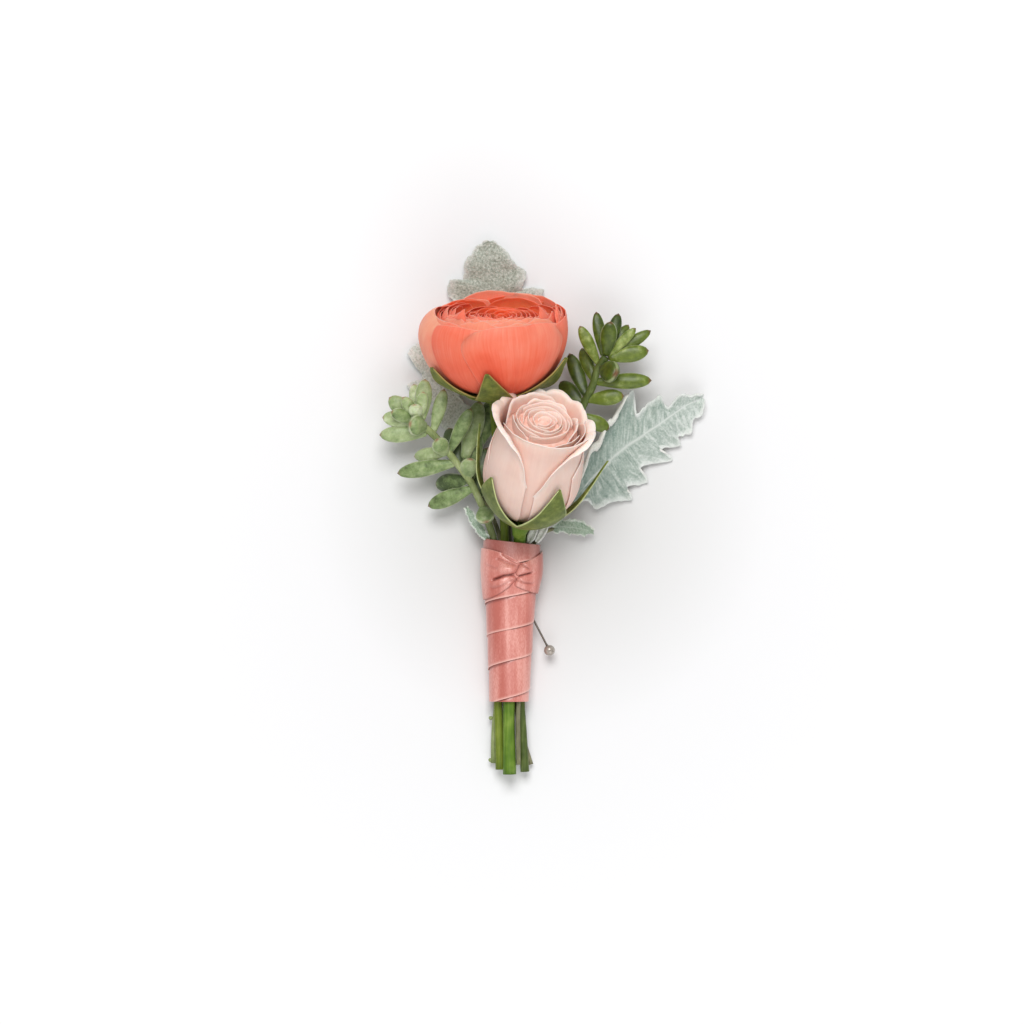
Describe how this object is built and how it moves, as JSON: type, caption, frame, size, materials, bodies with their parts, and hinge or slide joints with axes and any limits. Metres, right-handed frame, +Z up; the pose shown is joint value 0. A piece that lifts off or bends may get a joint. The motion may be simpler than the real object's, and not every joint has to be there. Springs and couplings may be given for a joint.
{
  "type": "boutonniere",
  "caption": "Boutonniere lying on its back: a coral ranunculus over a blush spray rose, succulent sprigs and dusty miller leaves, stems bound in coral satin ribbon with a pearl-headed pin.",
  "frame": {"origin": "middle of the part's box at the bottom, on the surface that it lies on", "axes": "+Z up from the surface to the blooms, +Y along the stems from the cut ends to the ranunculus, +X to the side of the large dusty miller leaf"},
  "size_m": [0.0854, 0.1398, 0.0439],
  "materials": {
    "ranunculus_petal": "soft",
    "ranunculus_calyx": "matte",
    "rose_petal": "soft",
    "rose_calyx": "matte",
    "pale_succulent": "matte",
    "green_succulent": "satin",
    "felted_leaf": "matte",
    "crepe_tape": "matte",
    "satin_ribbon": "satin",
    "pin_steel": "satin",
    "pearl": "gloss"
  },
  "bodies": {
    "root": {"ranunculus_bloom": "ranunculus_petal", "ranunculus_stem": "ranunculus_calyx", "rose_bloom": "rose_petal", "rose_stem": "rose_calyx", "succulent_sprig_left": "pale_succulent", "succulent_sprig_right": "green_succulent", "dusty_miller_leaf_top": "felted_leaf", "dusty_miller_leaf_left": "felted_leaf", "dusty_miller_leaf_right": "felted_leaf", "dusty_miller_leaf_low_right": "felted_leaf", "dusty_miller_leaf_low_left": "felted_leaf", "stem_tape": "crepe_tape", "satin_ribbon": "satin_ribbon", "pin_shaft": "pin_steel", "pin_pearl": "pearl"}
  },
  "joints": []
}
